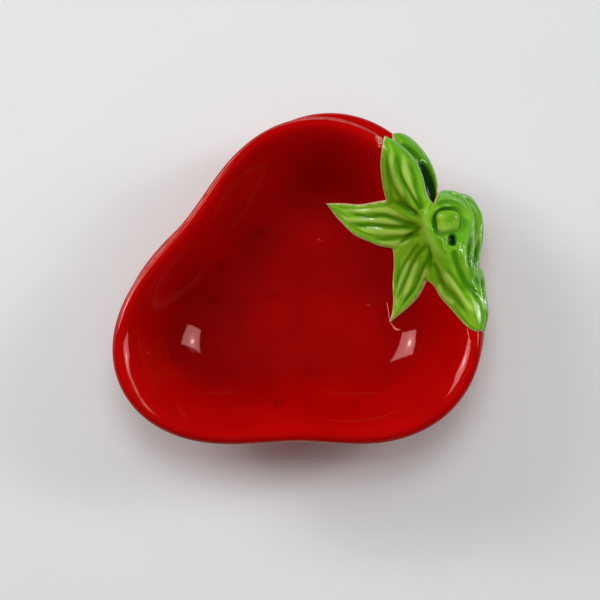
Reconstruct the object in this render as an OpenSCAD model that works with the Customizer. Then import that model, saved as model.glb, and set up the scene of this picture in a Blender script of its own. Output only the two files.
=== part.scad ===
// Nested pair of strawberry-shaped condiment dishes in glazed earthenware, sizes in millimetres.
// +X runs from the fruit's pointed end to its stem and +Z is up. The lower dish stands on Z = 0.
// Angles on a dish are measured about its foot ring, from 0 at the stem round to 180 at the point.

/* [Rim outline] */
// Outer radius of the rim at the stem
rim_stem = 54; // [52:0.1:57]
// Outer radius of the rim 30 degrees from the stem
rim_30 = 59.2; // [57:0.1:61]
// Outer radius of the rim 60 degrees from the stem, at the shoulder
rim_60 = 64.4; // [62:0.1:67]
// Outer radius of the rim 90 degrees from the stem
rim_90 = 58.8; // [57:0.1:61]
// Outer radius of the rim 120 degrees from the stem, at the waist
rim_120 = 52.8; // [51:0.1:55]
// Outer radius of the rim 150 degrees from the stem
rim_150 = 64; // [61:0.1:67]
// Outer radius of the rim at the pointed end
rim_tip = 76; // [73:0.1:79]

/* [Bowl] */
// Height of the rim above the table
rim_height = 37; // [35:0.5:39]
// Thickness of the rounded lip
lip_thick = 5.6; // [5:0.1:6.4]
// Thickness of the flat floor
floor_thick = 6; // [5:0.1:7]
// Share of the rim radius inside which the floor is flat
floor_share = 0.5; // [0.46:0.01:0.54]
// Share of the rim radius inside which the underside is flat
base_share = 0.4; // [0.38:0.01:0.43]
// Slope of the wall below the lip at the stem, in degrees
wall_stem = 58; // [54:1:62]
// Slope of the wall below the lip at the sides, in degrees
wall_side = 45; // [42:1:49]
// Slope of the wall below the lip at the pointed end, in degrees
wall_tip = 40; // [36:1:44]

/* [Foot ring] */
// Height of the foot ring
foot_height = 8.5; // [7:0.5:10]
// Outer radius of the foot ring
foot_radius = 22; // [19:0.5:23]
// Width of the foot ring
foot_width = 4.5; // [3.5:0.1:6]
// Bevel on the foot ring's resting edges
foot_bevel = 1; // [0.5:0.1:1.5]

/* [Calyx] */
// Thickness of a sepal along its middle
sepal_thick = 2.2; // [1.6:0.1:2.8]
// Thickness of a sepal at its edge
sepal_edge = 0.9; // [0.6:0.1:1.4]
// Depth of the grooves between a sepal's veins
vein_depth = 0.35; // [0.1:0.05:0.5]
// Radius of the curve by which a rim sepal turns down over the lip
sepal_bend = 3.6; // [3.4:0.1:5]
// Radius of the curve by which the stem collar turns down outside the lip
collar_bend = 12; // [10:0.5:16]
// Thickness of the stem collar along its middle
collar_thick = 3; // [2.4:0.1:3.4]
// Radius of the cut stem stub
stub_radius = 4.8; // [4:0.1:5.2]
// Height of the cut stem stub
stub_height = 3; // [2:0.1:3.6]
// Distance of the stub's centre inside the rim's outer edge
stub_inset = 0.4; // [0:0.1:1.6]
// Angle of the stub's centre to the left of the stem end
stub_angle = 2; // [0:0.5:4]

/* [Stack] */
// Distance by which the upper dish sits back toward the pointed end
stack_back = 4.5; // [3:0.1:5.5]
// Distance by which the upper dish sits off to the right
stack_side = 3.6; // [2:0.1:4.5]
// Angle by which the upper dish is turned on the lower one
stack_turn = 3.8; // [0:0.1:5]
// Gap left between pieces that rest on each other
seat_gap = 0.25; // [0.2:0.05:0.4]

/* [Hidden] */
red_glaze = [0.62, 0.02, 0.02];
green_glaze = [0.42, 0.64, 0.16];
bare_clay = [0.86, 0.79, 0.68];
lip_radius = lip_thick / 2;
floor_top = foot_height + floor_thick;
around = 72;
outside_steps = 8;
lip_steps = 8;
inside_steps = 9;
sepal_rows = 14;
sepal_columns = 12;
$fn = 72;

// A smooth closed curve through radii given at equal angles, as a short cosine series
function total(list) = list * [for (value = list) 1];
function end_weight(index, last) = (index == 0 || index == last) ? 0.5 : 1;
function series_term(values, k) =
    let (last = len(values) - 1)
    2 / last * end_weight(k, last)
    * total([for (j = [0:last]) end_weight(j, last) * values[j] * cos(180 * j * k / last)]);
function series_terms(values) = [for (k = [0:len(values) - 1]) series_term(values, k)];
function series(terms, angle) = total([for (k = [0:len(terms) - 1]) terms[k] * cos(k * angle)]);
rim_terms = series_terms([rim_stem, rim_30, rim_60, rim_90, rim_120, rim_150, rim_tip]);
wall_terms = series_terms([wall_stem, wall_side, wall_tip]);
function rim(angle) = series(rim_terms, angle);
function wall(angle) = series(wall_terms, angle);
function plan(angle, radius) = radius * [cos(angle), sin(angle)];

// The wall rises from a flat floor at share 0 to the lip's slope at share 1
function rise(share, slope) = (3 - slope) * pow(share, 2) + (slope - 2) * pow(share, 3);
function end_slope(angle, run, climb) = tan(wall(angle)) * run / climb;

// Section of the bowl in one direction, each point as radius and height
function outside_point(angle, share) =
    let (
        edge = base_share * rim(angle),
        run = rim(angle) - lip_radius * (1 - sin(wall(angle))) - edge,
        climb = rim_height - lip_radius * (1 + cos(wall(angle))) - foot_height
    )
    [edge + run * share, foot_height + climb * rise(share, end_slope(angle, run, climb))];
function lip_point(angle, turn) =
    [rim(angle) - lip_radius + lip_radius * cos(turn), rim_height - lip_radius + lip_radius * sin(turn)];
function inside_run(angle) =
    rim(angle) - lip_radius * (1 + sin(wall(angle))) - floor_share * rim(angle);
inside_top = rim_height - lip_radius;
function inside_climb(angle) = inside_top + lip_radius * cos(wall(angle)) - floor_top;
function inside_rise(angle, share) =
    floor_top + inside_climb(angle)
    * rise(share, end_slope(angle, inside_run(angle), inside_climb(angle)));
function inside_point(angle, share) =
    [floor_share * rim(angle) + inside_run(angle) * share, inside_rise(angle, share)];
function section(angle) = concat(
    [for (i = [0:outside_steps]) outside_point(angle, i / outside_steps)],
    [for (i = [1:lip_steps - 1]) lip_point(angle, wall(angle) - 90 + 180 * i / lip_steps)],
    [for (i = [inside_steps:-1:0]) inside_point(angle, i / inside_steps)]
);

// Height of the dish's upper surface at a place in plan, carried on past the lip by a gentle bend
function drape_height(place, bend) =
    let (
        angle = atan2(place.y, place.x),
        past_crest = norm(place) - rim(angle) + lip_radius,
        share = (norm(place) - floor_share * rim(angle)) / inside_run(angle)
    )
    past_crest > 0 ? rim_height - pow(past_crest, 2) / (2 * bend)
    : past_crest > -lip_radius * sin(wall(angle))
        ? inside_top + sqrt(pow(lip_radius, 2) - pow(past_crest, 2))
    : inside_rise(angle, max(share, 0));
function drape_normal(place, bend) =
    let (
        step = 0.1,
        slope_x = (drape_height(place + [step, 0], bend) - drape_height(place - [step, 0], bend)) / (2 * step),
        slope_y = (drape_height(place + [0, step], bend) - drape_height(place - [0, step], bend)) / (2 * step),
        normal = [-slope_x, -slope_y, 1]
    )
    normal / norm(normal);
function drape(place, bend, lift) =
    [place.x, place.y, drape_height(place, bend)] + lift * drape_normal(place, bend);

// Sepal edges from base to point, each place as an angle and a share of the rim radius there
left_rim_edges = [
    [[7, 0.92], [27, 0.79], [33, 0.825], [38, 0.94], [39.5, 1.005]],
    [[6.5, 0.955], [15.5, 0.985], [24, 1.03], [33, 1.035], [39.5, 1.015]]
];
left_inner_edges = [
    [[6, 0.89], [8, 0.65], [21, 0.515], [42, 0.495], [54.5, 0.548]],
    [[6.5, 0.905], [26, 0.77], [37, 0.655], [47.5, 0.60], [55, 0.557]]
];
right_inner_edges = [
    [[2, 0.90], [-17, 0.75], [-25, 0.665], [-34, 0.545], [-40.5, 0.478]],
    [[3, 0.89], [4, 0.635], [-12, 0.545], [-24, 0.508], [-40, 0.47]]
];
right_rim_edges = [
    [[1, 0.95], [-9, 0.985], [-19, 1.03], [-31, 1.037], [-40, 1.0]],
    [[1.5, 0.915], [-18, 0.765], [-28, 0.80], [-36.5, 0.87], [-40.5, 0.965]]
];
collar_edges = [
    [[11.5, 1.08], [8, 1.175], [1.5, 1.185], [-6, 1.13], [-14.5, 1.065]],
    [[9, 0.985], [4, 0.97], [-2, 0.975], [-8, 1.015], [-14.5, 1.05]]
];

// A curve through a list of places, passed at equal steps of travel
function edge_place(places, travel) =
    let (
        last = len(places) - 1,
        from = min(floor(travel * last), last - 1),
        t = travel * last - from,
        before = places[max(from - 1, 0)],
        start = places[from],
        end = places[from + 1],
        after = places[min(from + 2, last)]
    )
    0.5 * (2 * start + (end - before) * t + (2 * before - 5 * start + 4 * end - after) * pow(t, 2)
    + (3 * start - before - 3 * end + after) * pow(t, 3));
function on_rim(place) = plan(place[0], place[1] * rim(place[0]));
function sepal_place(edges, travel, across) =
    on_rim(edge_place(edges[0], travel)) * (1 - across) + on_rim(edge_place(edges[1], travel)) * across;
function sepal_lift(travel, across, thick) =
    let (
        crown = sqrt(max(4 * across * (1 - across), 0)),
        grooves = vein_depth * (1 + cos(across * 4 * 360)) / 2 * crown * (1 - travel)
    )
    sepal_edge + (thick - sepal_edge) * crown - grooves;

function sepal_top(edges, bend, thick, travel, across) =
    drape(sepal_place(edges, travel, across), bend, seat_gap + sepal_lift(travel, across, thick));

// The stub rests on the highest of the sepals and collar that reach under it
stub_place = plan(stub_angle, rim(stub_angle) - stub_inset);
function top_under_stub(edges, bend, thick) = max([
    for (i = [0:sepal_rows], j = [0:sepal_columns])
        let (top = sepal_top(edges, bend, thick, i / sepal_rows, j / sepal_columns))
        norm([top.x, top.y] - stub_place) < stub_radius ? top.z : 0
]);
rim_and_inner_edges = [left_rim_edges, left_inner_edges, right_inner_edges, right_rim_edges];
sepal_tops = [for (edges = rim_and_inner_edges) top_under_stub(edges, sepal_bend, sepal_thick)];
stub_base = max(max(sepal_tops), top_under_stub(collar_edges, collar_bend, collar_thick)) + seat_gap;

// The upper dish settles until it first meets the lower one
stack_shift = [-stack_back, -stack_side];
function turned(place) =
    [
        place.x * cos(stack_turn) - place.y * sin(stack_turn),
        place.x * sin(stack_turn) + place.y * cos(stack_turn)
    ];
function on_stack(place) = turned(place) + stack_shift;
function lift_needed(place, height) =
    let (below = on_stack(place), angle = atan2(below.y, below.x))
    norm(below) > rim(angle) ? 0 : drape_height(below, lip_radius) - height;
wall_lifts = [
    for (i = [0:around - 1], j = [0:outside_steps])
        let (angle = 360 * i / around, point = outside_point(angle, j / outside_steps))
        lift_needed(plan(angle, point[0]), point[1])
];
foot_lifts = [for (i = [0:around - 1]) lift_needed(plan(360 * i / around, foot_radius), 0)];
stack_lift = max(max(wall_lifts), max(foot_lifts)) + seat_gap;

// Middle of both dishes in plan, so that the pair is centred on the origin
dish_outline = concat(
    [for (i = [0:around - 1]) plan(360 * i / around, rim(360 * i / around))],
    [for (i = [0:sepal_rows]) on_rim(edge_place(collar_edges[0], i / sepal_rows))]
);
pair_outline = concat(dish_outline, [for (place = dish_outline) on_stack(place)]);
function middle(list) = (min(list) + max(list)) / 2;
pair_middle = [for (axis = [0, 1]) middle([for (place = pair_outline) place[axis]])];

// Faces between the rings of points of a closed band
function band_faces(rings, count) = [
    for (j = [0:rings - 2], i = [0:count - 1])
        let (a = j * count + i, b = j * count + (i + 1) % count)
        each [[a, a + count, b], [b, a + count, b + count]]
];

module bowl() {
    rings = outside_steps + lip_steps + inside_steps + 1;
    sections = [for (i = [0:around - 1]) section(360 * i / around)];
    ring_points = [
        for (j = [0:rings - 1], i = [0:around - 1])
            let (point = sections[i][j])
            concat(plan(360 * i / around, point[0]), point[1])
    ];
    base = len(ring_points);
    top_ring = (rings - 1) * around;
    color(red_glaze)
    polyhedron(
        points = concat(ring_points, [[0, 0, foot_height], [0, 0, floor_top]]),
        faces = concat(
            band_faces(rings, around),
            [for (i = [0:around - 1]) [base, i, (i + 1) % around]],
            [for (i = [0:around - 1]) [base + 1, top_ring + (i + 1) % around, top_ring + i]]
        )
    );
}

module foot_ring() {
    inner = foot_radius - foot_width;
    color(bare_clay)
    rotate_extrude()
    polygon([
        [inner, foot_height],
        [inner, foot_bevel],
        [inner + foot_bevel, 0],
        [foot_radius - foot_bevel, 0],
        [foot_radius, foot_bevel],
        [foot_radius, foot_height]
    ]);
}

// A sheet draped on the dish between two edges, thick along its middle and thin at its edges
module sepal(edges, bend, thick) {
    columns = sepal_columns + 1;
    sheet = (sepal_rows + 1) * columns;
    places = [
        for (i = [0:sepal_rows], j = [0:sepal_columns])
            sepal_place(edges, i / sepal_rows, j / sepal_columns)
    ];
    under = [for (place = places) drape(place, bend, seat_gap)];
    over = [
        for (i = [0:sepal_rows], j = [0:sepal_columns])
            sepal_top(edges, bend, thick, i / sepal_rows, j / sepal_columns)
    ];
    border = concat(
        [for (j = [0:sepal_columns - 1]) j],
        [for (i = [0:sepal_rows - 1]) i * columns + sepal_columns],
        [for (j = [sepal_columns:-1:1]) sepal_rows * columns + j],
        [for (i = [sepal_rows:-1:1]) i * columns]
    );
    color(green_glaze)
    polyhedron(
        points = concat(over, under),
        faces = concat(
            [
                for (i = [0:sepal_rows - 1], j = [0:sepal_columns - 1])
                    let (a = i * columns + j, b = a + columns)
                    each [
                        [a, b, a + 1], [a + 1, b, b + 1],
                        [sheet + a, sheet + a + 1, sheet + b], [sheet + a + 1, sheet + b + 1, sheet + b]
                    ]
            ],
            [
                for (k = [0:len(border) - 1])
                    let (a = border[k], b = border[(k + 1) % len(border)])
                    each [[a, b, sheet + b], [a, sheet + b, sheet + a]]
            ]
        )
    );
}

module left_rim_sepal() sepal(left_rim_edges, sepal_bend, sepal_thick);
module left_inner_sepal() sepal(left_inner_edges, sepal_bend, sepal_thick);
module right_inner_sepal() sepal(right_inner_edges, sepal_bend, sepal_thick);
module right_rim_sepal() sepal(right_rim_edges, sepal_bend, sepal_thick);
module stem_collar() sepal(collar_edges, collar_bend, collar_thick);

module stem_stub() {
    color(green_glaze)
    translate([stub_place.x, stub_place.y, stub_base])
    rotate_extrude()
    intersection() {
        square([stub_radius, stub_height]);
        translate([0, stub_height - stub_radius])
        circle(r = stub_radius * 1.15);
    }
}

module lower() translate([-pair_middle.x, -pair_middle.y, 0]) children();
module upper()
    translate([stack_shift.x - pair_middle.x, stack_shift.y - pair_middle.y, stack_lift])
    rotate([0, 0, stack_turn])
    children();

lower() bowl();  // lower_bowl
lower() foot_ring();  // lower_foot_ring
lower() left_rim_sepal();  // lower_left_rim_sepal
lower() left_inner_sepal();  // lower_left_inner_sepal
lower() right_inner_sepal();  // lower_right_inner_sepal
lower() right_rim_sepal();  // lower_right_rim_sepal
lower() stem_collar();  // lower_stem_collar
lower() stem_stub();  // lower_stem_stub
upper() bowl();  // upper_bowl
upper() foot_ring();  // upper_foot_ring
upper() left_rim_sepal();  // upper_left_rim_sepal
upper() left_inner_sepal();  // upper_left_inner_sepal
upper() right_inner_sepal();  // upper_right_inner_sepal
upper() right_rim_sepal();  // upper_right_rim_sepal
upper() stem_collar();  // upper_stem_collar
upper() stem_stub();  // upper_stem_stub
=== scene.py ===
"""Two nested strawberry dishes in glazed earthenware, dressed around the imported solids.

Lengths are millimetres on a dish, with +X to the stem and the foot ring's middle at the origin.
Meshes are turned into metres in the row frame when they are made.
"""

import math

import bpy
import numpy as np
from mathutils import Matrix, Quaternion, Vector


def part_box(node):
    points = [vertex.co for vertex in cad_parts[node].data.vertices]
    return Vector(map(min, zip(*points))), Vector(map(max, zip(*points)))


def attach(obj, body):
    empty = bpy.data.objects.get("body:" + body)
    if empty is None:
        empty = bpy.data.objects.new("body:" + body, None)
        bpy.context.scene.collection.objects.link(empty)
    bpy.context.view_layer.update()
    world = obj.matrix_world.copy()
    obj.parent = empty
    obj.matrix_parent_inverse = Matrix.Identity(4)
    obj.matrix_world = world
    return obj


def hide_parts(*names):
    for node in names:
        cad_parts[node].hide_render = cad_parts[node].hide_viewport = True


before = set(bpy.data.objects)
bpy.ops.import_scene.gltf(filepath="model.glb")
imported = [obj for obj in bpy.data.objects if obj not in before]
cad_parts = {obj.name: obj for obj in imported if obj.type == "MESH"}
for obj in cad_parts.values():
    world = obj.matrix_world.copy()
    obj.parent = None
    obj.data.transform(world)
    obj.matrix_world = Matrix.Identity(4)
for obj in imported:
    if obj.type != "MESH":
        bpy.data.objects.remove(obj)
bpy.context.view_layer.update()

# Sizes of a dish, as in the part's source
RIM_RADII = [54, 59.2, 64.4, 58.8, 52.8, 64, 76]
WALL_SLOPES = [58, 45, 40]
RIM_HEIGHT = 37.0
LIP_RADIUS = 2.8
FOOT_HEIGHT = 8.5
FOOT_RADIUS = 22.0
FOOT_WIDTH = 4.5
FLOOR_TOP = 14.5
BASE_SHARE = 0.4
COLLAR_BEND = 12.0
UPPER_TURN = 3.8

# Finer shape of the inside: where the floor ends, as shares of the rim radius, how sharply the wall rolls
# over into the lip, and how the sepals bend over it
FLOOR_SHARE = 0.478
FLOOR_LEAN = 0.022
FLOOR_TWIST = 0.006
FLOOR_LOBES = 0.009
ROLL_POWER = 7.9
ROLL_FORWARD = 1.0
ROLL_LEAN = 2.3
ROLL_OVAL = 0.4
SEPAL_BEND = 4.5

# Counts of points on the meshes
AROUND = 420
UNDER_RINGS = 10
OUTSIDE_RINGS = 28
LIP_RINGS = 40
INSIDE_RINGS = 86
FLOOR_RINGS = 40
BORDER_ROWS = 30
SEPAL_GRID = (120, 78)
COLLAR_GRID = (170, 110)

# Seed marks pressed into the inside, as places in plan and strengths
SEED_MARKS = [
    (-6.5, 31, 1.0), (-24.5, 26, 0.7), (-32.5, 17, 0.9), (-41.5, 22, 0.6), (-12, 8.5, 0.8),
    (7.5, 2.5, 0.5), (-0.5, 13, 0.3), (-54, 2.5, 0.5), (-37.5, -10.5, 0.7), (-28, -28.5, 0.8),
    (-12.5, -23, 0.4), (31, -41.5, 0.4), (-23, -5.5, 0.35), (2, -17, 0.5), (-3.5, -41, 0.5),
    (-5, 50.5, 0.5), (-9.5, 40.5, 0.4), (21.5, 8, 0.5), (19.5, 36.5, 0.8), (5.5, 23.5, 0.25),
]

# Places in plan where the inside is painted darker as shade, with radii and strengths, and the angle of the
# front, where it stays light
SHADED_PLACES = [(-39, 8, 16, 0.5), (30, 44, 12, 0.2), (19, 36, 6, 0.2)]
FRONT_ANGLE = -116

# Angles round the dish, each with a spread and a strength: where the inside wall keeps its full gloss, where
# the lip has a line that is part thin glaze and part painted highlight, and where its outer edge is worn
POLISHED_PLACES = [(176, 34, 1.0), (-52, 32, 1.0)]
THIN_AND_HIGHLIGHT_PLACES = [(126, 40, 1.0), (60, 16, 0.7)]
WORN_PLACES = [(60, 24, 0.4), (-125, 34, 1.0)]

# The notch in the lip beside the collar
NOTCH_ANGLE = 14
NOTCH_SPREAD = 5
NOTCH_IN = 2.4
NOTCH_DOWN = 1.6

# Calyx outline from the hub outward, each place as an angle in degrees and a share of the rim radius.
# Each side of a sepal is a border that it shares with the next piece, then a free edge to its tip.
HUB = (4.9, 0.886)
LEFT_BORDER = [HUB, (16, 0.82), (26.9, 0.767)]
MIDDLE_BORDER = [HUB, (6, 0.76), (6.6, 0.642)]
RIGHT_BORDER = [HUB, (-7, 0.81), (-17.6, 0.743)]
STEM_LEFT_BORDER = [HUB, (8, 0.925), (10.5, 0.975)]
STEM_RIGHT_BORDER = [HUB, (-3.7, 0.935), (-15.7, 1.035)]
LEFT_RIM_TIP = (39.5, 1.008)
LEFT_INNER_TIP = (56.3, 0.57)
RIGHT_INNER_TIP = (-42.3, 0.46)
RIGHT_RIM_TIP = (-39, 0.995)
SEPALS = {
    "left_rim_sepal": (
        (LEFT_BORDER, [(31.6, 0.804), (36.2, 0.87), (38.8, 0.955), LEFT_RIM_TIP]),
        (STEM_LEFT_BORDER, [(15, 0.971), (21, 1.01), (27, 1.035), (34, 1.028), LEFT_RIM_TIP]),
    ),
    "left_inner_sepal": (
        (MIDDLE_BORDER, [(15.4, 0.56), (32, 0.484), (47, 0.504), LEFT_INNER_TIP]),
        (LEFT_BORDER, [(37.4, 0.649), (48.4, 0.594), LEFT_INNER_TIP]),
    ),
    "right_inner_sepal": (
        (RIGHT_BORDER, [(-24.2, 0.67), (-34.5, 0.536), RIGHT_INNER_TIP]),
        (MIDDLE_BORDER, [(0, 0.612), (-13.6, 0.539), (-26, 0.503), RIGHT_INNER_TIP]),
    ),
    "right_rim_sepal": (
        (STEM_RIGHT_BORDER, [(-19, 1.046), (-26, 1.023), (-33, 1.018), RIGHT_RIM_TIP]),
        (
            RIGHT_BORDER,
            [(-21, 0.772), (-27, 0.79), (-34, 0.848), (-38.7, 0.905), (-40, 0.955), RIGHT_RIM_TIP],
        ),
    ),
}
COLLAR_OUTER = [
    STEM_LEFT_BORDER[-1], (12.7, 1.048), (11.5, 1.11), (8.5, 1.175), (4, 1.192),
    (-1, 1.176), (-6, 1.133), (-11.6, 1.072), STEM_RIGHT_BORDER[-1],
]

# The lower dish's left rim sepal is broader at its tip
LOWER_TIP = (42.3, 0.985)
LOWER_SEPAL = (
    (LEFT_BORDER, [(31.6, 0.804), (36.2, 0.87), (40.5, 0.94), LOWER_TIP]),
    (
        STEM_LEFT_BORDER,
        [(15, 0.972), (18.4, 0.998), (22, 1.022), (28, 1.044), (34, 1.046),
         (38.5, 1.034), (41.2, 1.006), LOWER_TIP],
    ),
)

# Grooves of the sepals as plan lines from the hub outward, with their strengths
GROOVES = [
    (0.8, [(45.5, 8.5), (44, 14), (43, 21), (43.5, 27), (45, 31.5), (46.3, 36)]),
    (1.0, [(47.5, 9), (47, 16.5), (47, 23), (48, 27.5), (48.5, 32), (48, 36)]),
    (0.8, [(48.5, 9), (49.5, 15), (50.5, 21), (50.5, 26.5), (50.5, 31)]),
    (0.7, [(41, 17.5), (36, 20), (30.5, 23), (24.5, 26.5), (21.5, 29)]),
    (1.0, [(44.5, 5.5), (41.5, 9), (39, 12.5), (36, 16), (32, 18), (28, 21.5), (23, 26.5)]),
    (1.0, [(45, 4), (41, 7.5), (36, 11.5), (31.5, 15), (26, 18.5), (22, 24)]),
    (0.8, [(44, 2), (40, 4.5), (36, 7), (32, 9), (29, 11.5)]),
    (0.9, [(43, -0.5), (40.5, -0.5), (36, -2.5), (32.5, -5), (28, -9.5), (25, -13)]),
    (1.0, [(45, -2), (42, -2.5), (38.5, -4), (34, -7.5), (28.5, -12), (23, -16.5)]),
    (1.0, [(44, -5), (42.5, -6.5), (40, -8), (35, -12.5), (30.5, -14.5), (25, -17)]),
    (1.0, [(43, -8), (43.5, -11.5), (43, -16.5), (44, -23), (45, -29), (46.5, -34.5)]),
    (0.7, [(46, -13), (47, -17.5), (48, -22), (49, -26)]),
    (1.3, [(51.5, -8), (50.5, -12.5), (50, -17), (50, -21.5), (50.5, -26), (49, -31)]),
]
GROOVE_WIDTH = 0.95
GROOVE_DEPTH = 0.42

# Pale ridges between the grooves; the third, along the left rim sepal's outer edge, is a painted sheen
PALE_RIDGES_AND_SHEEN = [
    [(45, 15), (44.5, 23.5), (45.5, 28), (47, 31.5), (48, 34.5)],
    [(48, 11), (48.5, 18), (49, 23.5), (50, 28.5), (49.5, 33)],
    [(50.5, 10), (51.5, 14), (52.5, 18), (53, 22.5), (53, 26)],
    [(42.5, 10), (39, 15.5), (35, 19.5), (31, 21.5), (26.5, 24), (22.5, 27.5)],
    [(43, 6), (38.5, 11.5), (34.5, 15), (30, 18.5), (24.5, 21.5), (21.5, 26.5)],
    [(43, 4.5), (38.5, 7.5), (34.5, 10.5), (30, 14), (26, 17)],
    [(41, 2), (36.5, 4.5), (32.5, 7), (30, 10)],
    [(39.5, -2), (35, -5), (30.5, -9.5), (26.5, -14), (22.5, -17)],
    [(41, -4.5), (37.5, -6.5), (33.5, -10.5), (29, -14.5)],
    [(41.5, -8), (39.5, -10), (37, -12.5), (33, -15.5)],
    [(45, -11), (45.5, -17.5), (46.5, -23), (47.5, -29), (48, -34)],
    [(42, -15), (41, -19.5), (42, -23), (44, -26.5)],
]

# The smooth spine that crosses the hub from the left rim sepal to the right one
SPINE = [(50, 10), (48, 6.5), (46.5, 3), (46, -2), (46, -6.5), (45.5, -11)]

# Thickness of the calyx: its least lift off the dish, and the distance that counts as far from an edge
EDGE_LIFT = 0.12
FAR_INLAND = 5

# The stem: its middle in plan, half its width, its turn, and the heights and curves of its post
STEM_PLACE = (54.1, 1.4)
STEM_HALF = 4.2
STEM_TURN = math.radians(-26)
STEM_BASE = 36.4
STEM_TOP = 40.6
STEM_ROUND = 2.3
STEM_DOME = 0.3
STEM_LEAN = 0.11

# Folds round the stem: each is a plan line, the widths of its left and right slopes, and its height
HOOD = [
    (50.5, 9.6), (52.5, 9.6), (54.5, 9.4), (56.4, 8.8), (58.4, 7.2), (60, 4.8), (60.5, 1.7), (59.7, -1.2),
    (58.2, -3.6), (56, -6.8), (53.8, -10), (52.4, -14), (51.4, -18), (51, -22),
]
OUTER_FOLD = [
    (57.5, 11.2), (60, 10), (61.4, 6.8), (61.5, 3), (61, 0.5), (60.3, -2.5), (59, -6), (57.4, -9.4),
    (55.6, -12.6), (54.2, -16), (53.4, -19),
]
FOLDS = [
    (HOOD, 1.9, 0.9, 1.7),
    (OUTER_FOLD, 0.75, 0.6, 0.95),
    ([(52.8, -24), (52.4, -28), (51.6, -32), (50.5, -35.5)], 0.9, 0.8, 0.7),
    ([(50.5, -2.7), (49.8, -5.8), (49.3, -8.6)], 0.7, 0.7, 0.6),
]

# Hollows between the folds: each is a plan line, a width and a depth. The last is the small hole by the stem.
OUTER_SLOT = [
    (62.4, 7), (62.5, 3.5), (62.2, 0.6), (61.1, -3.6), (59.6, -7), (57.3, -10.9), (55.4, -14.2), (53.8, -18),
]
# A hollow's depth also paints it darker, nearly black where deep, as painted shade
SHADED_HOLLOWS = [
    (OUTER_SLOT, 0.5, 0.8),
    ([(58.6, -5), (57, -8), (55.2, -11), (53.4, -15), (52.3, -19)], 0.6, 0.6),
    ([(53.3, -20.8), (52.9, -22.6)], 0.7, 0.55),
    ([(52.6, -4.4), (52.1, -6)], 0.85, 3.4),
]

# Hollows on the lower dish only: a deep slot by the lip, painted near black as shade, and a seam nearer the
# tip
LOWER_SHADED_HOLLOWS = [
    ([(49.8, 29), (50.4, 26), (50.7, 22), (50.7, 17.5), (49.8, 13), (49, 10.5)], 1.45, 3.2),
    ([(45.5, 37.5), (47, 35.5), (48.5, 33), (50, 30), (51, 27)], 0.9, 0.7),
]

# Small chips and scratches in the upper dish's glaze, as places in plan and radii in metres
CHIPS = [
    ((46.6, 39.6), 0.0024), ((45.4, 37.4), 0.0014), ((12, 19.7), 0.0004), ((12.8, 18.9), 0.0003),
    ((17.6, -9.9), 0.0005), ((-62, 7.7), 0.0004),
]
LARGE_CHIP = 0.001

# Thin runs of glaze beside two sepal tips, with the sepal that each belongs to; their pale pink is partly a
# painted highlight
GLAZE_RUNS = {
    "right_inner_sepal": [(24, -12), (23, -15.5), (22, -18.5), (22, -20.5), (22.5, -22.5), (24, -23.5)],
    "right_rim_sepal": [(43.2, -35.4), (42.6, -37.5), (41.5, -41)],
}
RUN_MARKS = {
    "groove_and_shade": 0, "pale_and_sheen": 0, "edge": FAR_INLAND, "rim_line": FAR_INLAND, "outer": 0, "run": 1, "stroke": 0,
}

# Colours as linear red, green and blue
RED = (0.42, 0.0008, 0.0006)
LIGHT_RED = (0.48, 0.0014, 0.0010)
# Painted shade for the inside of the bowl
SHADED_RED = (0.2, 0.0004, 0.0004)
POOLED_RED = (0.11, 0.0002, 0.0002)
OUTSIDE_RED = (0.7, 0.0035, 0.0025)
FOOT_RED = (0.36, 0.001, 0.001)
WORN_EDGE = (0.62, 0.26, 0.14)
# A pale line on the lip, part thin glaze and part painted highlight
THIN_GLAZE_AND_HIGHLIGHT = (0.82, 0.33, 0.27)
DUST = (0.7, 0.3, 0.24)
CHIPPED = (0.8, 0.4, 0.32)
# Green glaze under the calyx, painted nearly black as shade
UNDER_CALYX_SHADE = (0.006, 0.03, 0.002)
GREEN = (0.22, 0.48, 0.018)
MOTTLED_GREEN = (0.15, 0.40, 0.009)
DARK_STROKE = (0.075, 0.29, 0.004)
LIGHT_STROKE = (0.36, 0.6, 0.06)
# Paler ridges, and a painted sheen
RIDGE_AND_SHEEN_GREEN = (0.43, 0.66, 0.1)
OUTER_GREEN = (0.11, 0.42, 0.016)
GROOVE_GREEN = (0.035, 0.18, 0.0015)
# Near black painted shade for the deep hollows, the hole and the slot
HOLLOW_SHADE_GREEN = (0.004, 0.032, 0.002)
BARE_EDGE = (0.78, 0.60, 0.33)
RUN_PINK_HIGHLIGHT = (0.85, 0.16, 0.12)
CLAY = (0.62, 0.5, 0.36)
LIGHT_CLAY = (0.74, 0.63, 0.48)
CLAY_SPECK = (0.3, 0.19, 0.1)
PAPER = (0.77, 0.795, 0.795)
LIGHT_PAPER = (0.80, 0.82, 0.815)


def series_terms(values):
    """Terms of the smooth even curve through values at equal steps of half a turn."""
    last = len(values) - 1
    weights = np.ones(last + 1)
    weights[[0, last]] = 0.5
    steps = np.arange(last + 1)
    cosines = np.cos(np.pi * np.outer(steps, steps) / last)
    return 2 / last * weights * (cosines @ (weights * np.array(values)))


RIM_TERMS = series_terms(RIM_RADII)
WALL_TERMS = series_terms(WALL_SLOPES)


def series(terms, angle):
    return sum(term * np.cos(k * angle) for k, term in enumerate(terms))


def rim(angle):
    return series(RIM_TERMS, angle)


def wall(angle):
    return np.radians(series(WALL_TERMS, angle))


def smooth_step(low, high, value):
    share = np.clip((value - low) / (high - low), 0, 1)
    return share * share * (3 - 2 * share)


def rise(share, slope):
    """Height of a wall that leaves a flat floor and ends at a slope, as shares of its run and climb."""
    return (3 - slope) * share**2 + (slope - 2) * share**3


def floor_edge(angle):
    share = FLOOR_SHARE + FLOOR_LEAN * np.sin(angle) + FLOOR_TWIST * np.sin(2 * angle)
    return rim(angle) * (share - FLOOR_LOBES * np.cos(3 * angle))


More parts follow.
